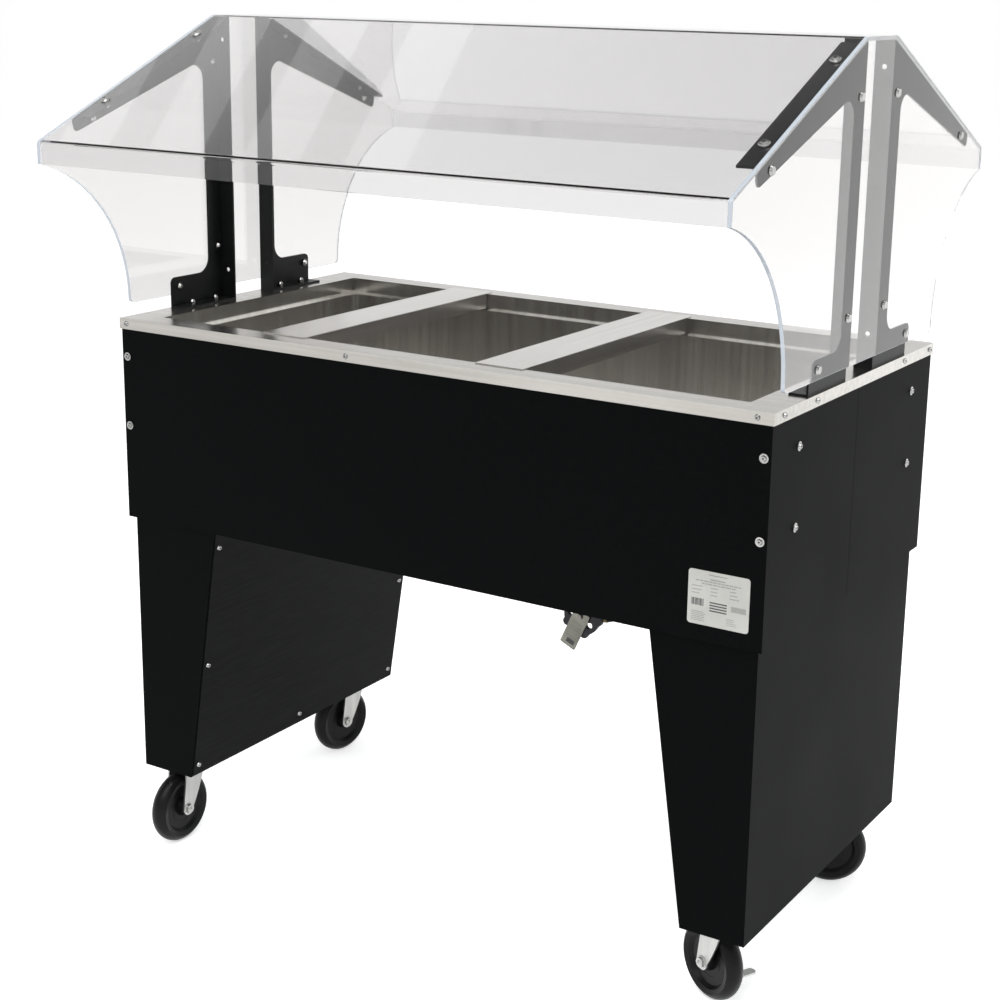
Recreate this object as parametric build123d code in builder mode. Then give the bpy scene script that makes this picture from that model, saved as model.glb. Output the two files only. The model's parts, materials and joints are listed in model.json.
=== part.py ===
from build123d import *
from math import atan2, cos, degrees, radians, sin, sqrt, tan
import os

# Mobile three-well steam table with a clear double-sided food guard.
# Frame: +X along the counter, -Y towards the customer's side, +Z up, origin on the floor under the centre.
# All lengths are millimetres.

os.makedirs("parts", exist_ok=True)

# ---- driving dimensions: counter -------------------------------------------------------------
TABLE_L = 1197.0                    # counter length
TABLE_D = 619.0                     # counter depth
DECK_Z = 948.0                      # height of the counter top
SHEET = 1.5                         # stainless and body sheet thickness
HEM = 18.0                          # turned-down edge of the counter top
END_RIM = 57.0                      # rim from the counter's end to the opening
SIDE_RIM = 45.0                     # rim from the counter's front or rear to the opening
OPEN_L = TABLE_L - 2 * END_RIM
OPEN_D = TABLE_D - 2 * SIDE_RIM

# ---- driving dimensions: water tub -----------------------------------------------------------
TUB_SHEET = 1.2
LEDGE_DROP = 28.0                   # the pan ledge lies this far below the counter top
LEDGE_W = 12.0
TUB_DEPTH = 203.0                   # counter top to the tub's floor
TUB_FLANGE = 12.0
TUB_CORNER = 14.0
TUB_L = OPEN_L - 2 * LEDGE_W
TUB_D = OPEN_D - 2 * LEDGE_W
TUB_FLOOR = DECK_Z - TUB_DEPTH
LEDGE_Z = DECK_Z - LEDGE_DROP
DRAIN_X = 177.0
DRAIN_R = 24.0

# ---- driving dimensions: adaptor bars --------------------------------------------------------
BAR_W = 84.0
BAR_L = 552.0
BAR_SHIFT = 5.0                     # each bar lies a little towards the rear
BAR_FLANGE = 26.0
BAR_LIFT = 0.2                      # running gap under a bar
BAR_X = {"left": -279.0, "right": 131.0}

# ---- driving dimensions: body ----------------------------------------------------------------
APRON_INSET = 2.5
APRON_BOTTOM = 602.0
APRON_TOP = DECK_Z - SHEET
APRON_RETURN = 6.0
APRON_SEAM_Y = 0.0
SEAM_GAP = 1.0
APRON_L = TABLE_L - 2 * APRON_INSET
APRON_D = TABLE_D - 2 * APRON_INSET
PEDESTAL_INSET = 9.0                # pedestal face behind the apron's face
PEDESTAL_BOTTOM = 140.0
PEDESTAL_TOP = 700.0
PEDESTAL_FOOT_W = 106.0             # width along X at the bottom
PEDESTAL_HEAD_W = 174.0             # width along X at the apron's lower edge
PEDESTAL_X = APRON_L / 2 - PEDESTAL_INSET
PEDESTAL_Y = APRON_D / 2 - PEDESTAL_INSET
PEDESTAL_SLOPE = (PEDESTAL_HEAD_W - PEDESTAL_FOOT_W) / (APRON_BOTTOM - PEDESTAL_BOTTOM)
PANEL_SHEET = 1.2
PANEL_MARGIN = 4.0
WINDOW_BORDER = 24.0

# ---- driving dimensions: casters -------------------------------------------------------------
WHEEL_R = 63.5
WHEEL_HALF_W = 16.0
SHOULDER_R = 53.0                   # where the wheel's domed tread meets its side
CASTER_H = 155.0
CASTER_TRAIL = 32.0
CASTER_X = 534.0
CASTER_Y = 240.0
PLATE_T = 3.0
PLATE_SIZE = (67.0, 95.0)
PLATE_HOLES = (46.0, 74.0)
PLATE_HOLE_R = 4.2
FORK_T = 3.0
FORK_GAP = 19.0                     # half the distance between the fork's legs
FORK_TOP = 136.0
AXLE_R = 5.0
KINGPIN_R = 5.0
RUN_CLEAR = 0.06                    # radial clearance of a running fit
TRAIL_ANGLE = {"front_left": 270.0, "front_right": 154.0, "rear_left": 259.0, "rear_right": 200.0}
BRAKED = ("front_right",)
BRAKE_PIN = (24.0, 86.0)            # brake pivot, along the trail and up
BRAKE_FACE = 22.4                   # inner face of the brake lever, across from the wheel's middle
BRAKE_T = 3.0
TAB_EDGE = 52.0                     # end of the brake's foot tab, across from the wheel's middle

# ---- driving dimensions: food guard ----------------------------------------------------------
GUARD_T = 6.0                       # acrylic thickness
GUARD_Y = 474.0                     # half the depth over the lips
RIDGE_Y = 56.0                      # half the width of the flat ridge
LIP_BOTTOM = DECK_Z + 268.0
LIP_TOP = DECK_Z + 303.0
RIDGE_Z = DECK_Z + 492.0
PANEL_OUT_X = 600.0                 # outer face of an end panel
PANEL_FOOT_Y = 285.0                # half the width of an end panel's lower edge
PANEL_FOOT_Z = DECK_Z + 22.0
BRACKET_T = 3.0
FOOT_ROOT_R = 26.0                  # rounded inner corners of the bracket plate
ARM_ROOT_R = 24.0
ARM_TIP_R = 6.0
POST_IN_Y = 52.0
POST_OUT_Y = 90.0
FOOT_Y = 188.0
FOOT_H = 52.0
FLANGE_W = 30.0
ARM_TIP = (385.0, DECK_Z + 313.0)
ARM_ROOT = (POST_OUT_Y, DECK_Z + 415.0)
END_BOLTS = ((362.0, 330.0), (70.0, 410.0), (70.0, 96.0), (172.0, 37.0))
ROOF_SCREWS = (122.0, 343.0)
DECK_BOLTS = (90.0, 150.0)
FLANGE_HOLES = (52.0, 447.0)

# ---- driving dimensions: drain valve ---------------------------------------------------------
PIPE_R = 16.7
PIPE_BORE = 13.3
VALVE_Z = 509.0
VALVE_HALF = 27.0
GATE_R = 14.2
GATE_T = 12.0
GATE_TRAVEL = 27.0
STEM_R = 3.5
WHEEL_FACE_Y = -84.0                # front face of the handwheel
HANDWHEEL_R = 36.0
TAG_Y = 84.6                        # the tag hangs on the stem in front of the handwheel
TAG_W = 30.0
TAG_L = 68.0
TAG_LEAN = radians(24.0)

# ---- driving dimensions: controls on the operator's side -------------------------------------
CONTROL_X = -210.0
CONTROL_Z = 658.0
KNOB_R = 19.0
INLET_X = -40.0
INLET_R = 27.0

# ---- screws ----------------------------------------------------------------------------------
SCREW_R = 2.1
HEAD_R = 4.6
HEAD_H = 2.6
BOLT_R = 3.1


def save(builder, name):
    """Label a finished piece and write it."""
    builder.part.label = name
    export_step(builder.part, f"parts/{name}.step")


def outward(point, normal):
    """A plane at a point on a surface, with its normal pointing outwards."""
    return Plane(origin=point, z_dir=normal)


def trail_frame(where, side_shift=0.0):
    """The upright plane of a caster: local x along its trail, local y up."""
    angle = radians(TRAIL_ANGLE[where])
    trail = Vector(cos(angle), sin(angle), 0)
    across = Vector(sin(angle), -cos(angle), 0)
    x = CASTER_X if where.endswith("right") else -CASTER_X
    y = CASTER_Y if where.startswith("rear") else -CASTER_Y
    return Plane(origin=Vector(x, y, 0) + across * side_shift, x_dir=trail, z_dir=across)


def swivel_plane(where, height):
    """The level plane of a caster: local x along its trail, at a height."""
    upright = trail_frame(where)
    return Plane(origin=upright.origin + Vector(0, 0, height), x_dir=upright.x_dir, z_dir=(0, 0, 1))


def roof_outline(inset):
    """Half of the roof's section from the ridge to the lip's lower edge, moved inwards."""
    slope = atan2(RIDGE_Z - LIP_TOP, GUARD_Y - RIDGE_Y)
    ridge = (RIDGE_Y - inset * tan(slope / 2), RIDGE_Z - inset)
    bend = (GUARD_Y - inset, LIP_TOP - inset * tan((radians(90) - slope) / 2))
    return [ridge, bend, (GUARD_Y - inset, LIP_BOTTOM)]


def roof_under(y):
    """Height of the roof's under side at a distance from the middle."""
    ridge, bend, _ = roof_outline(GUARD_T)
    return ridge[1] + (bend[1] - ridge[1]) * (y - ridge[0]) / (bend[0] - ridge[0])


def pedestal_inner_x(z):
    """Distance from the middle to the pedestal's sloping inner face at a height."""
    return PEDESTAL_X - PEDESTAL_FOOT_W - PEDESTAL_SLOPE * (z - PEDESTAL_BOTTOM)


def hem_screw_planes():
    """Where the counter top's hem is screwed to the body."""
    z = DECK_Z - HEM / 2
    planes = []
    for x in (-584.0, -126.0, 573.0):
        planes.append(outward((x, -TABLE_D / 2, z), (0, -1, 0)))
        planes.append(outward((-x, TABLE_D / 2, z), (0, 1, 0)))
    for y in (-275.0, -162.0, 181.0, 293.0):
        planes.append(outward((TABLE_L / 2, y, z), (1, 0, 0)))
        planes.append(outward((-TABLE_L / 2, -y, z), (-1, 0, 0)))
    return planes


def apron_screw_planes():
    """Where the apron shells are screwed to the corner posts."""
    planes = []
    for z in (DECK_Z - 65.0, DECK_Z - 184.0):
        for side in (-1, 1):
            for x in (-585.0, 585.0):
                planes.append(outward((x, side * APRON_D / 2, z), (0, side, 0)))
            for y in (-215.0, 225.0):
                planes.append(outward((side * APRON_L / 2, y, z), (side, 0, 0)))
    return planes


def access_screw_planes(side):
    """Where an access panel is screwed to its pedestal's sloping face."""
    normal = Vector(-side, 0, -PEDESTAL_SLOPE).normalized()
    edge = PEDESTAL_Y - PANEL_MARGIN - 12.0
    spots = [(y, z) for y in (-edge, edge) for z in (160.0, 352.0, 570.0)] + [(0.0, 160.0)]
    shift = normal * PANEL_SHEET
    return [outward(Vector(side * pedestal_inner_x(z), y, z) + shift, normal) for y, z in spots]


def drill(planes, radius, depth=12.0):
    """Cut screw holes through the piece being built."""
    for plane in planes:
        with BuildSketch(plane.offset(depth / 2)) as face:
            Circle(radius)
        extrude(face.sketch, amount=-depth, mode=Mode.SUBTRACT)


# ---- counter top, tub and bars ---------------------------------------------------------------
def make_top_deck():
    with BuildPart() as top_deck:
        with BuildSketch(Plane.XY.offset(DECK_Z - SHEET)):
            Rectangle(TABLE_L, TABLE_D)
            Rectangle(OPEN_L, OPEN_D, mode=Mode.SUBTRACT)
        extrude(amount=SHEET)
        with BuildSketch(Plane.XY.offset(DECK_Z - HEM)):
            Rectangle(TABLE_L, TABLE_D)
            Rectangle(TABLE_L - 2 * SHEET, TABLE_D - 2 * SHEET, mode=Mode.SUBTRACT)
        extrude(amount=HEM - SHEET)
        drill(hem_screw_planes(), SCREW_R + 0.2)
        for side in (-1, 1):
            bolts = [(side * (PANEL_OUT_X - GUARD_T - FLANGE_W / 2), s * y) for y in DECK_BOLTS for s in (-1, 1)]
            with BuildSketch(Plane.XY.offset(DECK_Z)):
                with Locations(*bolts):
                    Circle(BOLT_R + 0.2)
            extrude(amount=-SHEET, mode=Mode.SUBTRACT)
    save(top_deck, "top_deck")


def tub_layer(low, high, length, depth, corner, mode):
    """One level block of the tub, with rounded upright corners."""
    with BuildSketch(Plane.XY.offset(low)) as face:
        RectangleRounded(length, depth, corner)
    extrude(face.sketch, amount=high - low, mode=mode)


def make_tub_liner():
    top = DECK_Z - SHEET
    wall = 2 * TUB_SHEET
    collar_l = OPEN_L + 1.0
    collar_d = OPEN_D + 1.0
    with BuildPart() as tub_liner:
        tub_layer(top - TUB_SHEET, top, collar_l + 2 * TUB_FLANGE, collar_d + 2 * TUB_FLANGE, 4.0, Mode.ADD)
        tub_layer(LEDGE_Z - TUB_SHEET, top, collar_l + wall, collar_d + wall, 3.0, Mode.ADD)
        tub_layer(TUB_FLOOR - TUB_SHEET, LEDGE_Z, TUB_L + wall, TUB_D + wall, TUB_CORNER + TUB_SHEET, Mode.ADD)
        tub_layer(LEDGE_Z, top, collar_l, collar_d, 2.0, Mode.SUBTRACT)
        tub_layer(TUB_FLOOR, LEDGE_Z, TUB_L, TUB_D, TUB_CORNER, Mode.SUBTRACT)
        with BuildSketch(Plane.XY.offset(TUB_FLOOR)):
            with Locations((DRAIN_X, 0)):
                Circle(DRAIN_R)
        extrude(amount=-TUB_SHEET, mode=Mode.SUBTRACT)
    save(tub_liner, "tub_liner")


def make_adaptor_bar(name, x):
    low = DECK_Z + BAR_LIFT
    with BuildPart() as bar:
        with BuildSketch(Plane.XY.offset(low)):
            with Locations((x, BAR_SHIFT)):
                Rectangle(BAR_W, BAR_L)
        extrude(amount=SHEET)
        with BuildSketch(Plane.XY.offset(low)):
            with Locations((x - BAR_W / 2 + SHEET / 2, 0), (x + BAR_W / 2 - SHEET / 2, 0)):
                Rectangle(SHEET, OPEN_D - 6.0)
        extrude(amount=-BAR_FLANGE)
        fillet(bar.edges().filter_by(Axis.Y).group_by(Axis.Z)[-1], SHEET * 0.6)
    save(bar, name)


# ---- inside the body -------------------------------------------------------------------------
def make_tub_insulation():
    with BuildPart() as tub_insulation:
        with BuildSketch(Plane.XY.offset(TUB_FLOOR + 1.0)):
            Rectangle(TUB_L + 2 * 25.0, TUB_D + 2 * 25.0)
            RectangleRounded(TUB_L + 2 * TUB_SHEET + 1.0, TUB_D + 2 * TUB_SHEET + 1.0,
                             TUB_CORNER + TUB_SHEET + 0.5, mode=Mode.SUBTRACT)
        extrude(amount=LEDGE_Z - TUB_SHEET - TUB_FLOOR - 2.0)
    save(tub_insulation, "tub_insulation")


def heater_path(centre):
    """Four straight runs joined by hairpins, with both ends at the rear."""
    pitch = 60.0
    near = -150.0
    far = 150.0
    tail = 205.0
    runs = [centre + pitch * step for step in (-1.5, -0.5, 0.5, 1.5)]
    with BuildLine(Plane.XY.offset(TUB_FLOOR - TUB_SHEET - 4.3)) as path:
        Line((runs[0], tail), (runs[0], near))
        RadiusArc((runs[0], near), (runs[1], near), -pitch / 2)
        Line((runs[1], near), (runs[1], far))
        RadiusArc((runs[1], far), (runs[2], far), pitch / 2)
        Line((runs[2], far), (runs[2], near))
        RadiusArc((runs[2], near), (runs[3], near), -pitch / 2)
        Line((runs[3], near), (runs[3], tail))
    return path.wires()[0]


def make_tub_heaters():
    with BuildPart() as tub_heaters:
        for centre in (-356.0, 0.0, 356.0):
            route = heater_path(centre)
            with BuildSketch(Plane(origin=route @ 0, z_dir=route % 0)):
                Circle(4.0)
            sweep(path=route)
    save(tub_heaters, "tub_heaters")


def make_heat_shield():
    low = 727.6
    with BuildPart() as heat_shield:
        with BuildSketch(Plane.XY.offset(low)):
            Rectangle(TUB_L + 40.0, TUB_D + 40.0)
            with Locations((DRAIN_X, 0)):
                Circle(DRAIN_R + 8.0, mode=Mode.SUBTRACT)
        extrude(amount=0.8)
        with BuildSketch(Plane.XY.offset(low)):
            Rectangle(TUB_L + 40.0, TUB_D + 40.0)
            Rectangle(TUB_L + 38.4, TUB_D + 38.4, mode=Mode.SUBTRACT)
        extrude(amount=16.0)
    save(heat_shield, "heat_shield")


def make_body_frame():
    height = 27.0
    leg = 38.0
    thick = 3.0
    x = APRON_L / 2 - SHEET
    y = APRON_D / 2 - SHEET
    rail_half = PEDESTAL_X - 4.0
    with BuildPart() as body_frame:
        for rail_y in (-150.0, 150.0):
            with BuildSketch(Plane.YZ.offset(-rail_half)):
                with Locations((rail_y, PEDESTAL_TOP + height / 2)):
                    Rectangle(40.0, height)
                with Locations((rail_y, PEDESTAL_TOP + height / 2 - 2.0)):
                    Rectangle(36.0, height, mode=Mode.SUBTRACT)
            extrude(amount=2 * rail_half)
        for side in (-1, 1):
            with BuildSketch(Plane.XY.offset(PEDESTAL_TOP)):
                with Locations((side * (x - thick / 2), 0)):
                    Rectangle(thick, 2 * y)
            extrude(amount=height)
            with BuildSketch(Plane.XY.offset(PEDESTAL_TOP)):
                with Locations((side * (rail_half - 2.0 + (x - rail_half) / 2), -150.0)):
                    Rectangle(x - rail_half + 4.0, 40.0)
                with Locations((side * (rail_half - 2.0 + (x - rail_half) / 2), 150.0)):
                    Rectangle(x - rail_half + 4.0, 40.0)
            extrude(amount=thick)
            with BuildSketch(Plane.XY.offset(PEDESTAL_TOP)):
                for end in (-1, 1):
                    with Locations((side * (x - leg / 2), end * (y - thick / 2))):
                        Rectangle(leg, thick)
                    with Locations((side * (x - thick / 2), end * (y - leg / 2))):
                        Rectangle(thick, leg)
            extrude(amount=APRON_TOP - PEDESTAL_TOP)
        drill(apron_screw_planes() + hem_screw_planes(), SCREW_R, 16.0)
    save(body_frame, "body_frame")


def make_bottom_pan():
    half = pedestal_inner_x(APRON_BOTTOM) - PANEL_SHEET - 3.0
    with BuildPart() as bottom_pan:
        with BuildSketch(Plane.XY.offset(APRON_BOTTOM + SHEET)):
            Rectangle(2 * half, APRON_D - 2 * SHEET - 1.0)
            with Locations((DRAIN_X, 0)):
                Circle(PIPE_R + 4.0, mode=Mode.SUBTRACT)
        extrude(amount=TUB_SHEET)
    save(bottom_pan, "bottom_pan")


# ---- apron, pedestals and caster rails -------------------------------------------------------
def control_holes():
    """Openings in the rear shell for the control's shaft and the power inlet."""
    wall = Plane(origin=(0, APRON_D / 2, 0), x_dir=(1, 0, 0), z_dir=(0, -1, 0))
    with BuildSketch(wall) as face:
        with Locations((CONTROL_X, CONTROL_Z)):
            Circle(5.0)
        with Locations((INLET_X, CONTROL_Z)):
            Circle(INLET_R - 4.0)
    extrude(face.sketch, amount=4.0, both=True, mode=Mode.SUBTRACT)


def make_apron(name, side):
    with BuildPart() as apron:
        for low, high, width in ((APRON_BOTTOM, APRON_TOP, SHEET), (APRON_BOTTOM, APRON_BOTTOM + SHEET, APRON_RETURN)):
            with BuildSketch(Plane.XY.offset(low)):
                Rectangle(APRON_L, APRON_D)
                Rectangle(APRON_L - 2 * width, APRON_D - 2 * width, mode=Mode.SUBTRACT)
                with Locations((0, APRON_SEAM_Y - side * (APRON_D / 2 - SEAM_GAP / 2))):
                    Rectangle(APRON_L, APRON_D, mode=Mode.SUBTRACT)
            extrude(amount=high - low)
        drill(apron_screw_planes() + hem_screw_planes(), SCREW_R + 0.2)
        if side > 0:
            control_holes()
    save(apron, name)


def make_pedestal(name, side):
    head = pedestal_inner_x(PEDESTAL_TOP)
    foot = pedestal_inner_x(PEDESTAL_BOTTOM)
    lean = sqrt(1 + PEDESTAL_SLOPE ** 2)
    wall = SHEET * lean
    below = PEDESTAL_BOTTOM - 10.0
    with BuildPart() as pedestal:
        with BuildSketch(Plane.XZ):
            with BuildLine():
                Polyline((side * PEDESTAL_X, PEDESTAL_BOTTOM), (side * foot, PEDESTAL_BOTTOM),
                         (side * head, PEDESTAL_TOP), (side * PEDESTAL_X, PEDESTAL_TOP), close=True)
            make_face()
        extrude(amount=PEDESTAL_Y, both=True)
        with BuildSketch(Plane.XZ):
            with BuildLine():
                inner_top = PEDESTAL_TOP - SHEET
                Polyline((side * (PEDESTAL_X - SHEET), below),
                         (side * (pedestal_inner_x(below) + wall), below),
                         (side * (pedestal_inner_x(inner_top) + wall), inner_top),
                         (side * (PEDESTAL_X - SHEET), inner_top), close=True)
            make_face()
        extrude(amount=PEDESTAL_Y - SHEET, both=True, mode=Mode.SUBTRACT)
        window_low = PEDESTAL_BOTTOM + 34.0
        window_high = 548.0
        with BuildSketch(Plane.YZ.offset(side * (head - 20.0))):
            with Locations((0, (window_low + window_high) / 2)):
                RectangleRounded(2 * (PEDESTAL_Y - WINDOW_BORDER), window_high - window_low, 10.0)
        extrude(amount=side * (foot - head + 40.0), mode=Mode.SUBTRACT)
        drill(access_screw_planes(side), SCREW_R)
    save(pedestal, name)


def make_access_panel(name, side):
    low = PEDESTAL_BOTTOM + 2.0
    high = APRON_BOTTOM - 1.0
    out = PANEL_SHEET * sqrt(1 + PEDESTAL_SLOPE ** 2)
    gap = 0.02
    with BuildPart() as access_panel:
        with BuildSketch(Plane.XZ):
            with BuildLine():
                Polyline((side * (pedestal_inner_x(low) - gap), low),
                         (side * (pedestal_inner_x(low) - out), low),
                         (side * (pedestal_inner_x(high) - out), high),
                         (side * (pedestal_inner_x(high) - gap), high), close=True)
            make_face()
        extrude(amount=PEDESTAL_Y - PANEL_MARGIN, both=True)
        drill(access_screw_planes(side), SCREW_R + 0.2)
    save(access_panel, name)


def caster_hole_spots(side):
    """Bolt holes of the two casters under one pedestal."""
    return [(side * CASTER_X + sx * PLATE_HOLES[0] / 2, y + sy * PLATE_HOLES[1] / 2)
            for y in (-CASTER_Y, CASTER_Y) for sx in (-1, 1) for sy in (-1, 1)
            if abs(y + sy * PLATE_HOLES[1] / 2) < PEDESTAL_Y - 3.0]


def make_caster_rail(name, side):
    inner = pedestal_inner_x(PEDESTAL_BOTTOM) + 7.0
    outer = PEDESTAL_X - SHEET - 1.0
    middle = side * (inner + outer) / 2
    length = 2 * (PEDESTAL_Y - SHEET - 1.0)
    with BuildPart() as rail:
        with BuildSketch(Plane.XY.offset(CASTER_H)):
            with Locations((middle, 0)):
                Rectangle(outer - inner, length)
        extrude(amount=25.0)
        with BuildSketch(Plane.XY.offset(CASTER_H + PLATE_T)):
            with Locations((middle, 0)):
                Rectangle(outer - inner - 2 * PLATE_T, length)
        extrude(amount=25.0, mode=Mode.SUBTRACT)
        with BuildSketch(Plane.XY.offset(CASTER_H)):
            with Locations(*caster_hole_spots(side)):
                Circle(PLATE_HOLE_R)
        extrude(amount=PLATE_T, mode=Mode.SUBTRACT)
    save(rail, name)


# ---- casters ---------------------------------------------------------------------------------
def make_caster_plate(name, where):
    x = CASTER_X if where.endswith("right") else -CASTER_X
    y = CASTER_Y if where.startswith("rear") else -CASTER_Y
    with BuildPart() as plate:
        with BuildSketch(Plane.XY.offset(CASTER_H - PLATE_T)):
            with Locations((x, y)):
                RectangleRounded(PLATE_SIZE[0], PLATE_SIZE[1], 8.0)
                with GridLocations(PLATE_HOLES[0], PLATE_HOLES[1], 2, 2):
                    Circle(PLATE_HOLE_R, mode=Mode.SUBTRACT)
        extrude(amount=PLATE_T)
        for low, high, radius in ((FORK_TOP + 11.1, CASTER_H - PLATE_T, 21.0),
                                  (FORK_TOP - 3.0, CASTER_H - PLATE_T, KINGPIN_R),
                                  (FORK_TOP - 6.0, FORK_TOP - 0.1, 9.0)):
            with BuildSketch(Plane.XY.offset(low)):
                with Locations((x, y)):
                    Circle(radius)
            extrude(amount=high - low)
    save(plate, name)


def make_caster_fork(name, where, braked):
    upright = trail_frame(where)
    width = FORK_GAP + FORK_T
    with BuildPart() as fork:
        with BuildSketch(swivel_plane(where, FORK_TOP)):
            Circle(23.0)
            with Locations((11.0, 0)):
                Rectangle(46.0, 2 * width)
        extrude(amount=FORK_T)
        with BuildSketch(swivel_plane(where, FORK_TOP + FORK_T)):
            Circle(21.0)
        extrude(amount=8.0)
        for shift in (FORK_GAP, -width):
            with BuildSketch(upright.offset(shift)):
                with BuildLine():
                    Line((34.0, FORK_TOP), (CASTER_TRAIL + 12.5, WHEEL_R))
                    ThreePointArc((CASTER_TRAIL + 12.5, WHEEL_R), (CASTER_TRAIL, WHEEL_R - 12.5),
                                  (CASTER_TRAIL - 12.5, WHEEL_R))
                    ThreePointArc((CASTER_TRAIL - 12.5, WHEEL_R), (0.5, 100.0), (-12.0, FORK_TOP))
                    Line((-12.0, FORK_TOP), (34.0, FORK_TOP))
                make_face()
            extrude(amount=FORK_T)
        with BuildSketch(upright.offset(width)):
            with Locations((CASTER_TRAIL, WHEEL_R)):
                Circle(AXLE_R + 0.05)
        extrude(amount=-2 * width, mode=Mode.SUBTRACT)
        if braked:
            with BuildSketch(upright.offset(width)):
                with Locations(BRAKE_PIN):
                    Circle(3.0 + RUN_CLEAR)
            extrude(amount=-FORK_T, mode=Mode.SUBTRACT)
        with BuildSketch(swivel_plane(where, FORK_TOP)):
            Circle(KINGPIN_R + RUN_CLEAR)
        extrude(amount=20.0, mode=Mode.SUBTRACT)
    save(fork, name)


def make_caster_wheel(name, where):
    upright = trail_frame(where)
    centre = upright.origin + upright.x_dir * CASTER_TRAIL + Vector(0, 0, WHEEL_R)
    profile = Plane(origin=centre, x_dir=upright.z_dir, z_dir=-upright.x_dir)
    hub = FORK_GAP - 0.4
    bore = AXLE_R + RUN_CLEAR
    with BuildPart() as wheel:
        with BuildSketch(profile):
            with BuildLine():
                Polyline((WHEEL_HALF_W, SHOULDER_R), (WHEEL_HALF_W - 2.5, 45.0), (8.0, 40.0), (8.0, 17.0), (hub, 14.0),
                         (hub, bore), (-hub, bore), (-hub, 14.0), (-8.0, 17.0), (-8.0, 40.0),
                         (2.5 - WHEEL_HALF_W, 45.0), (-WHEEL_HALF_W, SHOULDER_R))
                ThreePointArc((-WHEEL_HALF_W, SHOULDER_R), (0, WHEEL_R), (WHEEL_HALF_W, SHOULDER_R))
            make_face()
        revolve(axis=Axis(centre, upright.z_dir))
    save(wheel, name)


def make_caster_axle(name, where):
    upright = trail_frame(where)
    width = FORK_GAP + FORK_T
    with BuildPart() as axle:
        with BuildSketch(upright.offset(-width - 5.0)):
            with Locations((CASTER_TRAIL, WHEEL_R)):
                Circle(AXLE_R)
        extrude(amount=2 * width + 10.0)
        for shift in (width + 0.02, -width - 5.0):
            with BuildSketch(upright.offset(shift)):
                with Locations((CASTER_TRAIL, WHEEL_R)):
                    Circle(7.5)
            extrude(amount=4.98)
    save(axle, name)


def make_brake_pedal(name, where):
    """A side lever on the fork's outer face, with a foot tab bent outwards at its end."""
    upright = trail_frame(where)
    outer = BRAKE_FACE + BRAKE_T
    with BuildPart() as pedal:
        with BuildSketch(upright.offset(BRAKE_FACE)):
            with BuildLine():
                Polyline((28.8, 82.5), (18.5, 90.0), (-11.0, 50.0), (-12.0, 44.0), (3.0, 44.0), close=True)
            make_face()
            with Locations(BRAKE_PIN):
                Circle(7.0)
        extrude(amount=BRAKE_T)
        with BuildSketch(upright.offset(outer)):
            with BuildLine():
                Polyline((-12.0, 44.0), (3.0, 44.0), (3.0, 47.0), (-12.0, 47.0), close=True)
            make_face()
        extrude(amount=TAB_EDGE - outer)
        tip = upright.origin + upright.z_dir * TAB_EDGE
        corners = [e for e in pedal.edges() if abs(e.length - BRAKE_T) < 0.01
                   and abs((e.center() - tip).dot(upright.z_dir)) < 0.1 and abs(e.center().Z - 45.5) < 0.1]
        fillet(corners, 6.0)
        with BuildSketch(upright.offset(FORK_GAP)):
            with Locations(BRAKE_PIN):
                Circle(3.0)
        extrude(amount=outer + 2.0 - FORK_GAP)
    save(pedal, name)


# ---- food guard ------------------------------------------------------------------------------
def mirrored(points):
    """The same half outline on the other side of the middle."""
    return [(-y, z) for y, z in reversed(points)]


def inner_bend(vertex, inner):
    """Whether a sketch corner is one of the roof's inner bends."""
    return any(abs(abs(vertex.X) - y) < 0.1 and abs(vertex.Y - z) < 0.1 for y, z in inner[:2])


def make_canopy_roof():
    half = PANEL_OUT_X - GUARD_T - 0.1
    outer = roof_outline(0.0)
    inner = roof_outline(GUARD_T)
    with BuildPart() as canopy_roof:
        with BuildSketch(Plane.YZ.offset(-half)) as section:
            with BuildLine():
                Polyline(*(mirrored(outer) + outer + list(reversed(inner)) + list(reversed(mirrored(inner)))),
                         close=True)
            make_face()
            bends = [v for v in section.vertices() if v.Y > LIP_BOTTOM + 10.0]
            outer_bends = [v for v in bends if min(abs(v.Y - LIP_TOP), abs(v.Y - RIDGE_Z)) < 0.5]
            fillet(outer_bends, 10.0)
            fillet([v for v in section.vertices() if inner_bend(v, inner)], 4.0)
        extrude(amount=2 * half)
        for side in (-1, 1):
            drill(roof_screw_planes(side), BOLT_R, 24.0)
    save(canopy_roof, "canopy_roof")


def roof_screw_planes(side):
    """Where the roof is screwed to the brackets of one end."""
    lean = (RIDGE_Z - LIP_TOP) / (GUARD_Y - RIDGE_Y)
    x = side * (PANEL_OUT_X - GUARD_T - FLANGE_W / 2)
    planes = []
    for half in (-1, 1):
        for y in ROOF_SCREWS:
            z = RIDGE_Z - lean * (y - RIDGE_Y)
            planes.append(Plane(origin=(x, half * y, z), x_dir=(1, 0, 0), z_dir=(0, half * lean, 1)))
    return planes


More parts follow.
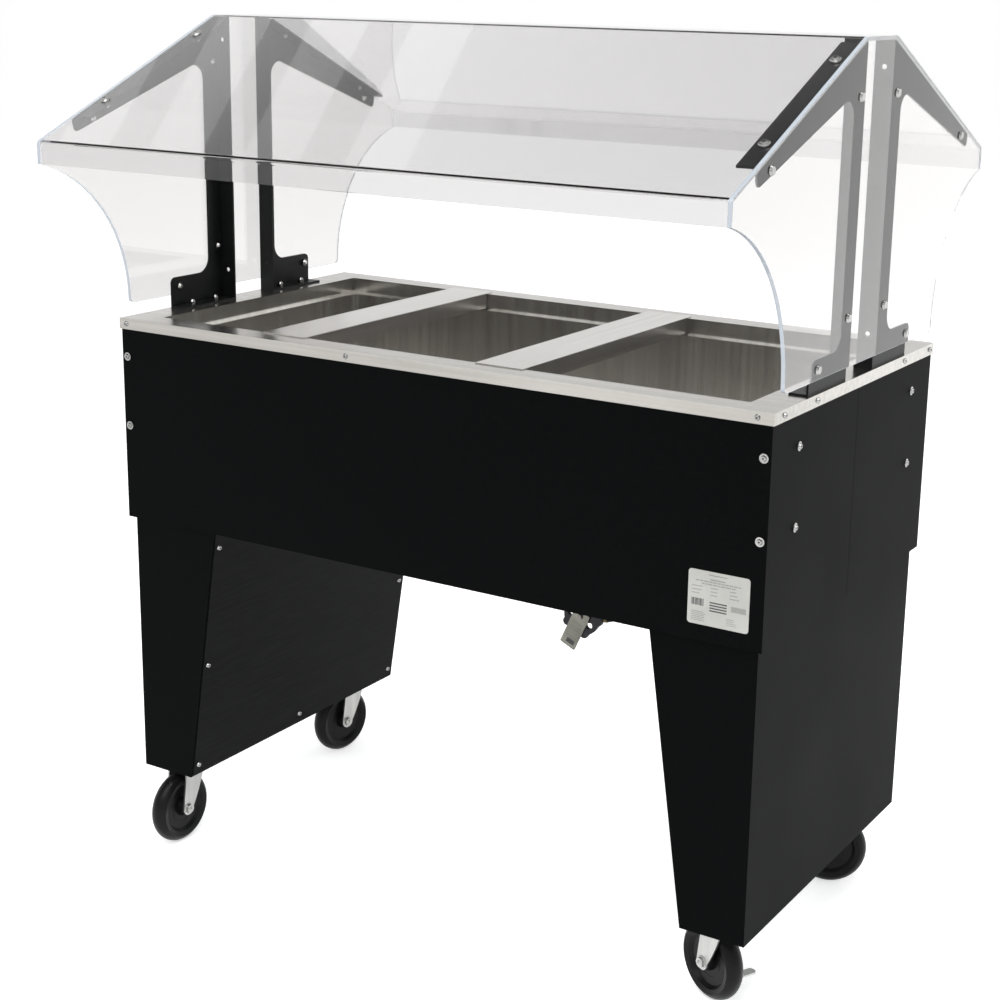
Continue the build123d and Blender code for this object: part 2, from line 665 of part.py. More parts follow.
def make_end_panel(name, side):
    centre_y = 534.5
    reach = sqrt((GUARD_Y - centre_y) ** 2 + (LIP_BOTTOM - PANEL_FOOT_Z) ** 2)
    middle = (centre_y - reach * cos(radians(38.1)), PANEL_FOOT_Z + reach * sin(radians(38.1)))
    top = roof_outline(0.0)
    with BuildPart() as panel:
        with BuildSketch(Plane.YZ.offset(side * PANEL_OUT_X)) as face:
            with BuildLine():
                Polyline(*([(-GUARD_Y, LIP_BOTTOM)] + mirrored(top)[1:] + top))
                ThreePointArc((GUARD_Y, LIP_BOTTOM), middle, (PANEL_FOOT_Y, PANEL_FOOT_Z))
                Line((PANEL_FOOT_Y, PANEL_FOOT_Z), (-PANEL_FOOT_Y, PANEL_FOOT_Z))
                ThreePointArc((-PANEL_FOOT_Y, PANEL_FOOT_Z), (-middle[0], middle[1]), (-GUARD_Y, LIP_BOTTOM))
            make_face()
            fillet([v for v in face.vertices() if abs(v.Y - LIP_BOTTOM) > 1.0], 9.0)
            with Locations(*[(s * y, DECK_Z + z) for y, z in END_BOLTS for s in (-1, 1)]):
                Circle(BOLT_R, mode=Mode.SUBTRACT)
        extrude(amount=-side * GUARD_T)
    save(panel, name)


def make_bracket(name, side, half):
    outer_x = PANEL_OUT_X - GUARD_T
    under = roof_under(400.0)
    foot_top = DECK_Z + FOOT_H
    ridge_under = RIDGE_Z - GUARD_T - 0.3
    bend_y = roof_outline(GUARD_T)[0][0]
    with BuildPart() as bracket:
        with BuildSketch(Plane.YZ.offset(side * outer_x)) as plate:
            with BuildLine():
                Polyline((half * POST_IN_Y, DECK_Z), (half * FOOT_Y, DECK_Z), (half * FOOT_Y, foot_top),
                         (half * POST_OUT_Y, foot_top), (half * ARM_ROOT[0], ARM_ROOT[1]),
                         (half * 397.0, DECK_Z + 309.0), (half * 402.0, under - 1.0),
                         (half * bend_y, ridge_under), (half * POST_IN_Y, ridge_under), close=True)
            make_face()
            for y, z, radius in ((FOOT_Y, foot_top, 10.0), (POST_OUT_Y, foot_top, FOOT_ROOT_R),
                                 (ARM_ROOT[0], ARM_ROOT[1], ARM_ROOT_R), (397.0, DECK_Z + 309.0, ARM_TIP_R),
                                 (402.0, under - 1.0, ARM_TIP_R)):
                fillet([v for v in plate.vertices() if abs(abs(v.X) - y) < 0.5 and abs(v.Y - z) < 0.5], radius)
            with Locations(*[(half * y, DECK_Z + z) for y, z in END_BOLTS]):
                Circle(BOLT_R, mode=Mode.SUBTRACT)
        extrude(amount=-side * BRACKET_T)
        middle = side * (outer_x - FLANGE_W / 2)
        with BuildSketch(Plane.XY.offset(DECK_Z)):
            with Locations((middle, half * (POST_IN_Y + FOOT_Y) / 2)):
                Rectangle(FLANGE_W, FOOT_Y - POST_IN_Y)
            with Locations(*[(middle, half * y) for y in DECK_BOLTS]):
                Circle(BOLT_R + 0.2, mode=Mode.SUBTRACT)
        extrude(amount=BRACKET_T)
        with BuildSketch(Plane.XZ.offset(-half * POST_IN_Y)):
            with Locations((middle, (DECK_Z + ridge_under) / 2)):
                Rectangle(FLANGE_W, ridge_under - DECK_Z)
            with Locations(*[(middle, DECK_Z + z) for z in FLANGE_HOLES]):
                Circle(4.0, mode=Mode.SUBTRACT)
        extrude(amount=-half * BRACKET_T)
        with BuildSketch(Plane.YZ.offset(side * outer_x)):
            with BuildLine():
                Polyline((half * 67.0, roof_under(67.0) - 0.1), (half * 392.0, roof_under(392.0) - 0.1),
                         (half * 392.0, roof_under(392.0) - 3.4), (half * 67.0, roof_under(67.0) - 3.4), close=True)
            make_face()
        extrude(amount=-side * FLANGE_W)
        drill([p for p in roof_screw_planes(side) if p.origin.Y * half > 0], BOLT_R, 34.0)
    save(bracket, name)


# ---- drain -----------------------------------------------------------------------------------
def ring(low, high, outer, inner=0.0):
    """An upright ring or disc on the drain's axis."""
    with BuildSketch(Plane.XY.offset(low)) as face:
        with Locations((DRAIN_X, 0)):
            Circle(outer)
            if inner:
                Circle(inner, mode=Mode.SUBTRACT)
    extrude(face.sketch, amount=high - low)


def barrel(near, far, outer, mode=Mode.ADD, sides=0):
    """A round or many-sided block on the valve stem's axis, between two distances from the pipe."""
    with BuildSketch(Plane.XZ.offset(near)) as face:
        with Locations((DRAIN_X, VALVE_Z)):
            if sides:
                RegularPolygon(outer, sides)
            else:
                Circle(outer)
    extrude(face.sketch, amount=far - near, mode=mode)


def slot(near, far, width, height, mode):
    """A flat block along the valve stem's axis."""
    with BuildSketch(Plane.XZ.offset(near)) as face:
        with Locations((DRAIN_X, VALVE_Z)):
            Rectangle(width, height)
    extrude(face.sketch, amount=far - near, mode=mode)


def make_drain_outlet():
    with BuildPart() as drain_outlet:
        ring(TUB_FLOOR + 0.02, TUB_FLOOR + 1.5, 33.0, 20.0)
        ring(700.0, TUB_FLOOR + 0.02, DRAIN_R - 0.3, 20.0)
        ring(700.0, 703.0, DRAIN_R - 0.3, PIPE_R + 0.05)
    save(drain_outlet, "drain_outlet")


def make_drain_locknut():
    underside = TUB_FLOOR - TUB_SHEET - 0.02
    with BuildPart() as drain_locknut:
        with BuildSketch(Plane.XY.offset(underside - 8.0)):
            with Locations((DRAIN_X, 0)):
                RegularPolygon(30.0, 8)
                Circle(DRAIN_R - 0.25, mode=Mode.SUBTRACT)
        extrude(amount=8.0)
    save(drain_locknut, "drain_locknut")


def make_drain_strainer():
    with BuildPart() as drain_strainer:
        with BuildSketch(Plane.XY.offset(TUB_FLOOR + 1.6)):
            with Locations((DRAIN_X, 0)):
                Circle(27.0)
                with PolarLocations(13.5, 10):
                    Circle(2.2, mode=Mode.SUBTRACT)
                with PolarLocations(7.0, 5):
                    Circle(2.2, mode=Mode.SUBTRACT)
        extrude(amount=1.2)
        ring(TUB_FLOOR - 12.0, TUB_FLOOR + 1.6, 19.6, 18.4)
    save(drain_strainer, "drain_strainer")


def make_drain_pipe():
    with BuildPart() as drain_pipe:
        ring(VALVE_Z + VALVE_HALF - 10.0, 722.0, PIPE_R, PIPE_BORE)
    save(drain_pipe, "drain_pipe")


def make_valve_body():
    with BuildPart() as valve_body:
        ring(VALVE_Z - VALVE_HALF + 8.0, VALVE_Z + VALVE_HALF - 8.0, 22.0)
        for low in (VALVE_Z - VALVE_HALF, VALVE_Z + VALVE_HALF - 13.0):
            with BuildSketch(Plane.XY.offset(low)):
                with Locations((DRAIN_X, 0)):
                    RegularPolygon(26.0, 6)
            extrude(amount=13.0)
        barrel(0.0, 60.0, 19.0)
        barrel(28.0, 37.0, 23.5)
        barrel(60.0, 70.0, 10.0, sides=6)
        slot(-GATE_R - 0.3, 42.5, 2 * GATE_R + 0.6, GATE_T + 0.4, Mode.SUBTRACT)
        slot(40.0, 54.5, 14.6, GATE_T + 0.4, Mode.SUBTRACT)
        barrel(50.0, 71.0, STEM_R + RUN_CLEAR, Mode.SUBTRACT)
        with BuildSketch(Plane.XY.offset(VALVE_Z - VALVE_HALF)):
            with Locations((DRAIN_X, 0)):
                Circle(PIPE_BORE)
        extrude(amount=2 * VALVE_HALF, mode=Mode.SUBTRACT)
        for low in (VALVE_Z - VALVE_HALF, VALVE_Z + VALVE_HALF - 10.1):
            with BuildSketch(Plane.XY.offset(low)):
                with Locations((DRAIN_X, 0)):
                    Circle(PIPE_R + 0.05)
            extrude(amount=10.1, mode=Mode.SUBTRACT)
    save(valve_body, "valve_body")


def make_valve_gate():
    with BuildPart() as valve_gate:
        with BuildSketch(Plane.XY.offset(VALVE_Z - GATE_T / 2)):
            with Locations((DRAIN_X, 0)):
                Circle(GATE_R)
            with Locations((DRAIN_X, -18.0)):
                Rectangle(14.0, 16.0)
        extrude(amount=GATE_T)
        barrel(-13.0, 27.0, STEM_R + RUN_CLEAR, Mode.SUBTRACT)
    save(valve_gate, "valve_gate")


def make_valve_stem():
    with BuildPart() as valve_stem:
        barrel(15.5, 90.0, STEM_R)
    save(valve_stem, "valve_stem")


def make_handwheel():
    rear = -WHEEL_FACE_Y - 8.0
    with BuildPart() as handwheel:
        with BuildSketch(Plane.XZ.offset(rear)):
            with Locations((DRAIN_X, VALVE_Z)):
                Circle(HANDWHEEL_R - 3.0)
                with PolarLocations(HANDWHEEL_R - 5.5, 5, start_angle=63.0):
                    Circle(7.5)
                with PolarLocations(HANDWHEEL_R - 16.0, 5, start_angle=27.0):
                    Circle(6.0, mode=Mode.SUBTRACT)
        extrude(amount=6.5)
        barrel(rear, rear + 8.0, 8.0)
        barrel(rear, rear + 9.0, STEM_R + 0.02, Mode.SUBTRACT)
    save(handwheel, "valve_handwheel")


def make_valve_tag():
    hung = Plane(origin=(DRAIN_X, -TAG_Y, VALVE_Z), x_dir=(cos(TAG_LEAN), 0, -sin(TAG_LEAN)), z_dir=(0, -1, 0))
    with BuildPart() as valve_tag:
        with BuildSketch(hung):
            with Locations((0, -TAG_L / 2 + 8.0)):
                RectangleRounded(TAG_W, TAG_L, 2.0)
            Circle(STEM_R + 1.3, mode=Mode.SUBTRACT)
        extrude(amount=0.8)
    save(valve_tag, "valve_tag")


# ---- controls and label ----------------------------------------------------------------------
def make_thermostat():
    inner = APRON_D / 2 - SHEET - 0.05
    with BuildPart() as thermostat:
        with BuildSketch(Plane.XZ.offset(-inner)):
            with Locations((CONTROL_X, CONTROL_Z)):
                Rectangle(44.0, 40.0)
        extrude(amount=24.0)
        with BuildSketch(Plane.XZ.offset(-inner)):
            with Locations((CONTROL_X, CONTROL_Z)):
                Circle(3.0)
        extrude(amount=-16.0)
    save(thermostat, "thermostat")


def make_thermostat_knob():
    face = APRON_D / 2
    with BuildPart() as knob:
        with BuildSketch(Plane.XZ.offset(-face - 1.0)):
            with Locations((CONTROL_X, CONTROL_Z)):
                Circle(KNOB_R)
        extrude(amount=-6.0)
        with BuildSketch(Plane.XZ.offset(-face - 7.0)):
            with Locations((CONTROL_X, CONTROL_Z)):
                Circle(KNOB_R - 3.0)
        extrude(amount=-12.0)
        with BuildSketch(Plane.XZ.offset(-face - 1.0)):
            with Locations((CONTROL_X, CONTROL_Z)):
                Circle(3.05)
        extrude(amount=-14.0, mode=Mode.SUBTRACT)
        with BuildSketch(Plane.XZ.offset(-face - 19.0)):
            with Locations((CONTROL_X, CONTROL_Z + KNOB_R - 8.0)):
                Rectangle(2.0, 8.0)
        extrude(amount=1.2, mode=Mode.SUBTRACT)
    save(knob, "thermostat_knob")


def make_power_inlet():
    face = APRON_D / 2
    with BuildPart() as inlet:
        with BuildSketch(Plane.XZ.offset(-face + 26.0)):
            with Locations((INLET_X, CONTROL_Z)):
                Circle(INLET_R - 4.4)
        extrude(amount=-26.0 - 1.0)
        with BuildSketch(Plane.XZ.offset(-face - 0.05)):
            with Locations((INLET_X, CONTROL_Z)):
                Circle(INLET_R)
        extrude(amount=-6.0)
        with BuildSketch(Plane.XZ.offset(-face - 6.1)):
            with Locations((INLET_X, CONTROL_Z)):
                Circle(INLET_R - 5.0)
        extrude(amount=16.0, mode=Mode.SUBTRACT)
        with BuildSketch(Plane.XZ.offset(-face + 11.0)):
            with Locations((INLET_X, CONTROL_Z)):
                with PolarLocations(11.0, 3, start_angle=90.0):
                    Rectangle(6.3, 1.6)
        extrude(amount=-14.0)
    save(inlet, "power_inlet")


def make_rating_label():
    face = APRON_D / 2 + 0.02
    with BuildPart() as label:
        with BuildSketch(Plane.XZ.offset(face)):
            with Locations((526.0, DECK_Z - 281.0)):
                RectangleRounded(96.0, 81.0, 5.0)
        extrude(amount=0.4)
    save(label, "rating_label")


# ---- fasteners -------------------------------------------------------------------------------
def screw(plane, length, washer_r=0.0):
    """A round-headed screw driven in along a plane's normal, with an optional washer under its head."""
    lift = 0.05
    if washer_r:
        with BuildSketch(plane.offset(lift)) as face:
            Circle(washer_r)
        extrude(face.sketch, amount=1.2)
        lift += 1.2
    with BuildSketch(plane.offset(lift)) as face:
        Circle(HEAD_R)
    extrude(face.sketch, amount=HEAD_H, taper=24.0)
    with BuildSketch(plane.offset(lift)) as face:
        Circle(SCREW_R - 0.15)
    extrude(face.sketch, amount=-length - lift)


def make_screws(name, planes, length, washer_r=0.0):
    with BuildPart() as screws:
        for plane in planes:
            screw(plane, length, washer_r)
    save(screws, name)


def guard_bolt(head_side, grip):
    """A round-headed bolt through a stack of sheets, closed by a dome nut. The plane lies under its head."""
    with BuildSketch(head_side.offset(0.05)) as face:
        Circle(7.5)
    extrude(face.sketch, amount=3.4, taper=30.0)
    nut_side = head_side.offset(-grip - 0.05)
    with BuildSketch(nut_side) as face:
        RegularPolygon(6.2, 6)
    extrude(face.sketch, amount=-5.0)
    with BuildSketch(nut_side.offset(-5.0)) as face:
        Circle(5.0)
    extrude(face.sketch, amount=-3.6, taper=30.0)
    with BuildSketch(nut_side.offset(-1.0)) as face:
        Circle(BOLT_R - 0.15)
    extrude(face.sketch, amount=grip + 2.0)


def make_guard_bolts():
    flange_x = PANEL_OUT_X - GUARD_T - FLANGE_W / 2
    with BuildPart() as guard_bolts:
        for side in (-1, 1):
            for half in (-1, 1):
                for y, z in END_BOLTS:
                    guard_bolt(outward((side * PANEL_OUT_X, half * y, DECK_Z + z), (side, 0, 0)), GUARD_T + BRACKET_T)
                for y in DECK_BOLTS:
                    guard_bolt(outward((side * flange_x, half * y, DECK_Z - SHEET), (0, 0, -1)), BRACKET_T + SHEET)
    save(guard_bolts, "guard_bolts")


def make_roof_screws():
    with BuildPart() as roof_screws:
        for plane in roof_screw_planes(-1) + roof_screw_planes(1):
            with BuildSketch(plane.offset(0.05)):
                Circle(8.5)
            extrude(amount=2.2, taper=35.0)
            with BuildSketch(plane.offset(2.2)):
                Circle(5.2)
            extrude(amount=1.6, taper=25.0)
            with BuildSketch(plane.offset(0.1)):
                Circle(BOLT_R - 0.2)
            extrude(amount=-18.0)
            with BuildSketch(plane.offset(-GUARD_T - 4.2)):
                RegularPolygon(6.0, 6)
            extrude(amount=-5.0)
    save(roof_screws, "roof_screws")


def make_caster_bolts():
    with BuildPart() as caster_bolts:
        for spot in caster_hole_spots(-1) + caster_hole_spots(1):
            with BuildSketch(Plane.XY.offset(CASTER_H - PLATE_T - 4.05)):
                with Locations(spot):
                    RegularPolygon(7.0, 6)
            extrude(amount=4.0)
            with BuildSketch(Plane.XY.offset(CASTER_H - PLATE_T - 0.1)):
                with Locations(spot):
                    Circle(PLATE_HOLE_R - 0.3)
            extrude(amount=2 * PLATE_T + 6.0)
            with BuildSketch(Plane.XY.offset(CASTER_H + PLATE_T + 0.05)):
                with Locations(spot):
                    RegularPolygon(6.6, 6)
            extrude(amount=5.0)
    save(caster_bolts, "caster_bolts")


make_top_deck()
make_tub_liner()
for hand, bar_x in BAR_X.items():
    make_adaptor_bar(f"adaptor_bar_{hand}", bar_x)
make_tub_insulation()
make_tub_heaters()
make_heat_shield()
make_body_frame()
make_bottom_pan()
make_apron("apron_front", -1)
make_apron("apron_rear", 1)
for hand, sign in (("left", -1), ("right", 1)):
    make_pedestal(f"pedestal_{hand}", sign)
    make_access_panel(f"access_panel_{hand}", sign)
    make_caster_rail(f"caster_rail_{hand}", sign)
    make_end_panel(f"end_panel_{hand}", sign)
    make_bracket(f"bracket_front_{hand}", sign, -1)
    make_bracket(f"bracket_rear_{hand}", sign, 1)
for corner_name in TRAIL_ANGLE:
    make_caster_plate(f"caster_plate_{corner_name}", corner_name)
    make_caster_fork(f"caster_fork_{corner_name}", corner_name, corner_name in BRAKED)
    make_caster_wheel(f"caster_wheel_{corner_name}", corner_name)
    make_caster_axle(f"caster_axle_{corner_name}", corner_name)
for corner_name in BRAKED:
    make_brake_pedal(f"brake_pedal_{corner_name}", corner_name)
make_canopy_roof()
make_drain_outlet()
make_drain_locknut()
make_drain_strainer()
make_drain_pipe()
make_valve_body()
make_valve_gate()
make_valve_stem()
make_handwheel()
make_valve_tag()
make_thermostat()
make_thermostat_knob()
make_power_inlet()
make_rating_label()
make_screws("pan_screws", hem_screw_planes() + access_screw_planes(-1) + access_screw_planes(1), 6.0)
make_screws("washer_screws", apron_screw_planes(), 8.0, 7.0)
make_guard_bolts()
make_roof_screws()
make_caster_bolts()
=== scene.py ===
import json
import math
import random

import bmesh
import bpy
from mathutils import Matrix, Vector


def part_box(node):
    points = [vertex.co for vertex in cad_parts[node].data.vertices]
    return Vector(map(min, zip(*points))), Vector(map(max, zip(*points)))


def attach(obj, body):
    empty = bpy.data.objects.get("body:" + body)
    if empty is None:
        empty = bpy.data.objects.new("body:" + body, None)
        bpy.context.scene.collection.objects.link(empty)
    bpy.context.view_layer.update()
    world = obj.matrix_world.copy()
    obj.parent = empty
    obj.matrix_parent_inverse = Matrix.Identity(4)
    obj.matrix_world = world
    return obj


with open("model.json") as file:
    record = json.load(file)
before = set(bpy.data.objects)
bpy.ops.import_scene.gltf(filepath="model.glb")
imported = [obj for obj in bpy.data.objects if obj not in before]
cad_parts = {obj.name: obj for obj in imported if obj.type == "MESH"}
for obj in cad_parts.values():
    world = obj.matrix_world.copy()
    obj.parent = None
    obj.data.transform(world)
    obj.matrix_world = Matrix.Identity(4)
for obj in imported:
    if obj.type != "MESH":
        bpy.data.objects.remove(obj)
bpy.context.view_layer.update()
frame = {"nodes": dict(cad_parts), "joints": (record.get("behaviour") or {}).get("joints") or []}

ROOF_BEND_Z = 1.251                    # height of the roof's lip bends
RIDGE_HALF_Y = 0.056                   # half the width of the flat ridge
TAG_LEAN = math.radians(24)            # how far the tag hangs out of plumb
SWIVEL_RACE_Z = 0.1472                 # height of a caster's ball race
nodes = frame["nodes"]
scene = bpy.context.scene


# ---- camera and studio -----------------------------------------------------------------------
def make_camera():
    data = bpy.data.cameras.new("view")
    camera = bpy.data.objects.new("view", data)
    scene.collection.objects.link(camera)
    yaw, pitch, roll = math.radians(31.51), math.radians(-14.45), math.radians(0.99)
    ahead = Vector((-math.sin(yaw) * math.cos(pitch), math.cos(yaw) * math.cos(pitch), math.sin(pitch)))
    right = Vector((math.cos(yaw), math.sin(yaw), 0))
    up = right.cross(ahead)
    turned_right = math.cos(roll) * right + math.sin(roll) * up
    turned_up = -math.sin(roll) * right + math.cos(roll) * up
    matrix = Matrix((turned_right, turned_up, -ahead)).transposed().to_4x4()
    matrix.translation = Vector((1.5905, -2.5612, 1.5159))
    camera.matrix_world = matrix
    data.sensor_width = 36.0
    data.lens = 66.8
    data.shift_x = -0.0287
    data.shift_y = -0.0472
    scene.camera = camera


def area_light(name, where, target, size, power):
    data = bpy.data.lights.new(name, "AREA")
    data.shape = "RECTANGLE"
    data.size, data.size_y = size
    data.energy = power
    light = bpy.data.objects.new(name, data)
    scene.collection.objects.link(light)
    light.location = where
    light.visible_camera = False
    light.rotation_euler = (Vector(target) - Vector(where)).to_track_quat("-Z", "Y").to_euler()


def make_studio():
    mesh = bpy.data.meshes.new("floor")
    half = 400.0
    corners = [(-half, -half, 0), (half, -half, 0), (half, half, 0), (-half, half, 0)]
    mesh.from_pydata(corners, [], [(0, 1, 2, 3)])
    floor = bpy.data.objects.new("floor", mesh)
    scene.collection.objects.link(floor)
    floor.data.materials.append(floor_material())
    make_world()
    area_light("key", (0.6, -3.0, 4.2), (0, 0, 0.6), (4.0, 3.0), 150)
    area_light("top", (0.6, -0.2, 4.6), (0, 0, 0.9), (3.4, 2.6), 120)
    area_light("side", (2.4, 3.6, 1.0), (0.4, 0.2, 0.9), (3.6, 2.4), 15)
    for step in range(4):
        x = -3.2 + 0.42 * step
        area_light(f"strip_{step}", (x, 1.5, 3.5), (x, 1.5, 0), (0.24, 2.4), 0.55)


def make_world():
    """A white backdrop that is bright around the horizon and softer overhead."""
    world = bpy.data.worlds.new("studio")
    scene.world = world
    world.use_nodes = True
    tree = world.node_tree
    background = tree.nodes["Background"]
    coords = tree.nodes.new("ShaderNodeTexCoord")
    split = tree.nodes.new("ShaderNodeSeparateXYZ")
    height = tree.nodes.new("ShaderNodeMapRange")
    height.inputs["From Min"].default_value = 0.58
    height.inputs["From Max"].default_value = 0.74
    height.inputs["To Min"].default_value = 1.0
    height.inputs["To Max"].default_value = 0.12
    tree.links.new(coords.outputs["Generated"], split.inputs["Vector"])
    tree.links.new(split.outputs["Z"], height.inputs["Value"])
    tree.links.new(height.outputs["Result"], background.inputs["Strength"])
    background.inputs["Color"].default_value = (1, 1, 1, 1)
    scene.view_settings.view_transform = "Standard"
    scene.view_settings.look = "None"


# ---- materials -------------------------------------------------------------------------------
class Shader:
    """A small helper around one material's node tree."""

    def __init__(self, name):
        self.material = bpy.data.materials.new(name)
        self.material.use_nodes = True
        self.tree = self.material.node_tree
        self.bsdf = self.tree.nodes["Principled BSDF"]
        self.coords = self.tree.nodes.new("ShaderNodeTexCoord")

    def set(self, **values):
        for key, value in values.items():
            self.bsdf.inputs[key.replace("_", " ")].default_value = value
        return self

    def link(self, source, target):
        self.tree.links.new(source, target)

    def mapped(self, scale):
        node = self.tree.nodes.new("ShaderNodeMapping")
        node.inputs["Scale"].default_value = scale
        self.link(self.coords.outputs["Object"], node.inputs["Vector"])
        return node.outputs["Vector"]

    def noise(self, scale, stretch=(1, 1, 1), detail=3.0, rough=0.55):
        node = self.tree.nodes.new("ShaderNodeTexNoise")
        node.inputs["Scale"].default_value = scale
        node.inputs["Detail"].default_value = detail
        node.inputs["Roughness"].default_value = rough
        self.link(self.mapped(stretch), node.inputs["Vector"])
        return node.outputs["Fac"]

    def ramp(self, factor, stops):
        node = self.tree.nodes.new("ShaderNodeValToRGB")
        while len(node.color_ramp.elements) < len(stops):
            node.color_ramp.elements.new(0.5)
        for element, (place, colour) in zip(node.color_ramp.elements, stops):
            element.position = place
            element.color = (*colour, 1.0)
        self.link(factor, node.inputs["Fac"])
        return node.outputs["Color"]

    def spread(self, factor, low, high):
        node = self.tree.nodes.new("ShaderNodeMapRange")
        node.inputs["To Min"].default_value = low
        node.inputs["To Max"].default_value = high
        self.link(factor, node.inputs["Value"])
        return node.outputs["Result"]

    def colour(self, output):
        self.link(output, self.bsdf.inputs["Base Color"])
        return self

    def roughness(self, output):
        self.link(output, self.bsdf.inputs["Roughness"])
        return self

    def bump(self, factor, strength, distance=0.0004):
        node = self.tree.nodes.new("ShaderNodeBump")
        node.inputs["Strength"].default_value = strength
        node.inputs["Distance"].default_value = distance
        self.link(factor, node.inputs["Height"])
        self.link(node.outputs["Normal"], self.bsdf.inputs["Normal"])
        return self


def floor_material():
    s = Shader("floor_pale").set(Roughness=0.9, Specular_IOR_Level=0.1, Emission_Color=(1, 1, 1, 1),
                                 Emission_Strength=0.52)
    grain = s.noise(3.0, detail=2.0)
    return s.colour(s.ramp(grain, [(0.3, (0.90, 0.90, 0.90)), (0.7, (0.93, 0.93, 0.93))])).material


def brushed(name, dark, light, stretch, low, high, bump=0.06):
    """Rolled or brushed metal: fine streaks along one way, with slow patches of tone."""
    s = Shader(name).set(Metallic=1.0)
    streak = s.noise(90.0, stretch, detail=4.0)
    cloud = s.noise(2.6, detail=3.0)
    mix = s.tree.nodes.new("ShaderNodeMath")
    mix.operation = "MULTIPLY_ADD"
    mix.inputs[1].default_value = 0.55
    s.link(streak, mix.inputs[0])
    half = s.tree.nodes.new("ShaderNodeMath")
    half.operation = "MULTIPLY"
    half.inputs[1].default_value = 0.45
    s.link(cloud, half.inputs[0])
    s.link(half.outputs["Value"], mix.inputs[2])
    s.colour(s.ramp(mix.outputs["Value"], [(0.3, dark), (0.7, light)]))
    s.roughness(s.spread(mix.outputs["Value"], low, high))
    return s.bump(streak, bump, 0.0002).material


def powder(name, dark, light, rough, grain=900.0, bump=0.10, specular=0.35, stretch=(1, 1, 1)):
    """Black sheet with a very fine fleck."""
    s = Shader(name).set(Specular_IOR_Level=specular)
    fleck = s.noise(grain, stretch, detail=2.0)
    cloud = s.noise(4.0, detail=2.0)
    s.colour(s.ramp(fleck, [(0.40, dark), (0.72, light)]))
    s.roughness(s.spread(cloud, rough - 0.05, rough + 0.06))
    return s.bump(fleck, bump, 0.0001).material


def acrylic(name, tint, edge, edge_axis):
    """Clear sheet with greyer cut edges: light passes, with a sheen at grazing angles."""
    s = Shader(name).set(IOR=1.49, Transmission_Weight=1.0)
    haze = s.noise(7.0, detail=2.0)
    s.roughness(s.spread(haze, 0.0, 0.03))
    split = s.tree.nodes.new("ShaderNodeSeparateXYZ")
    s.link(s.coords.outputs["Normal"], split.inputs["Vector"])
    size = s.tree.nodes.new("ShaderNodeMath")
    size.operation = "ABSOLUTE"
    s.link(split.outputs["X"], size.inputs[0])
    sheet_first = edge_axis == "X"
    stops = [(0.3, tint if sheet_first else edge), (0.7, edge if sheet_first else tint)]
    s.colour(s.ramp(size.outputs["Value"], stops))
    rim = s.ramp(size.outputs["Value"], [(0.3, (1, 1, 1)), (0.7, (0.25,) * 3)] if sheet_first else
                 [(0.3, (0.25,) * 3), (0.7, (1, 1, 1))])
    s.link(rim, s.bsdf.inputs["Transmission Weight"])
    clear = s.tree.nodes.new("ShaderNodeBsdfTransparent")
    clear.inputs["Color"].default_value = (*tint, 1.0)
    path = s.tree.nodes.new("ShaderNodeLightPath")
    mix = s.tree.nodes.new("ShaderNodeMixShader")
    output = s.tree.nodes["Material Output"]
    s.link(path.outputs["Is Shadow Ray"], mix.inputs["Fac"])
    s.link(s.bsdf.outputs["BSDF"], mix.inputs[1])
    s.link(clear.outputs["BSDF"], mix.inputs[2])
    s.link(mix.outputs["Shader"], output.inputs["Surface"])
    return s.material


def plastic(name, dark, light, rough, specular=0.45, grain=220.0, bump=0.05):
    """Moulded plastic or rubber with a faint texture."""
    s = Shader(name).set(Specular_IOR_Level=specular)
    fine = s.noise(grain, detail=3.0)
    cloud = s.noise(12.0, detail=2.0)
    s.colour(s.ramp(cloud, [(0.3, dark), (0.7, light)]))
    s.roughness(s.spread(fine, rough - 0.06, rough + 0.06))
    return s.bump(fine, bump, 0.0002).material


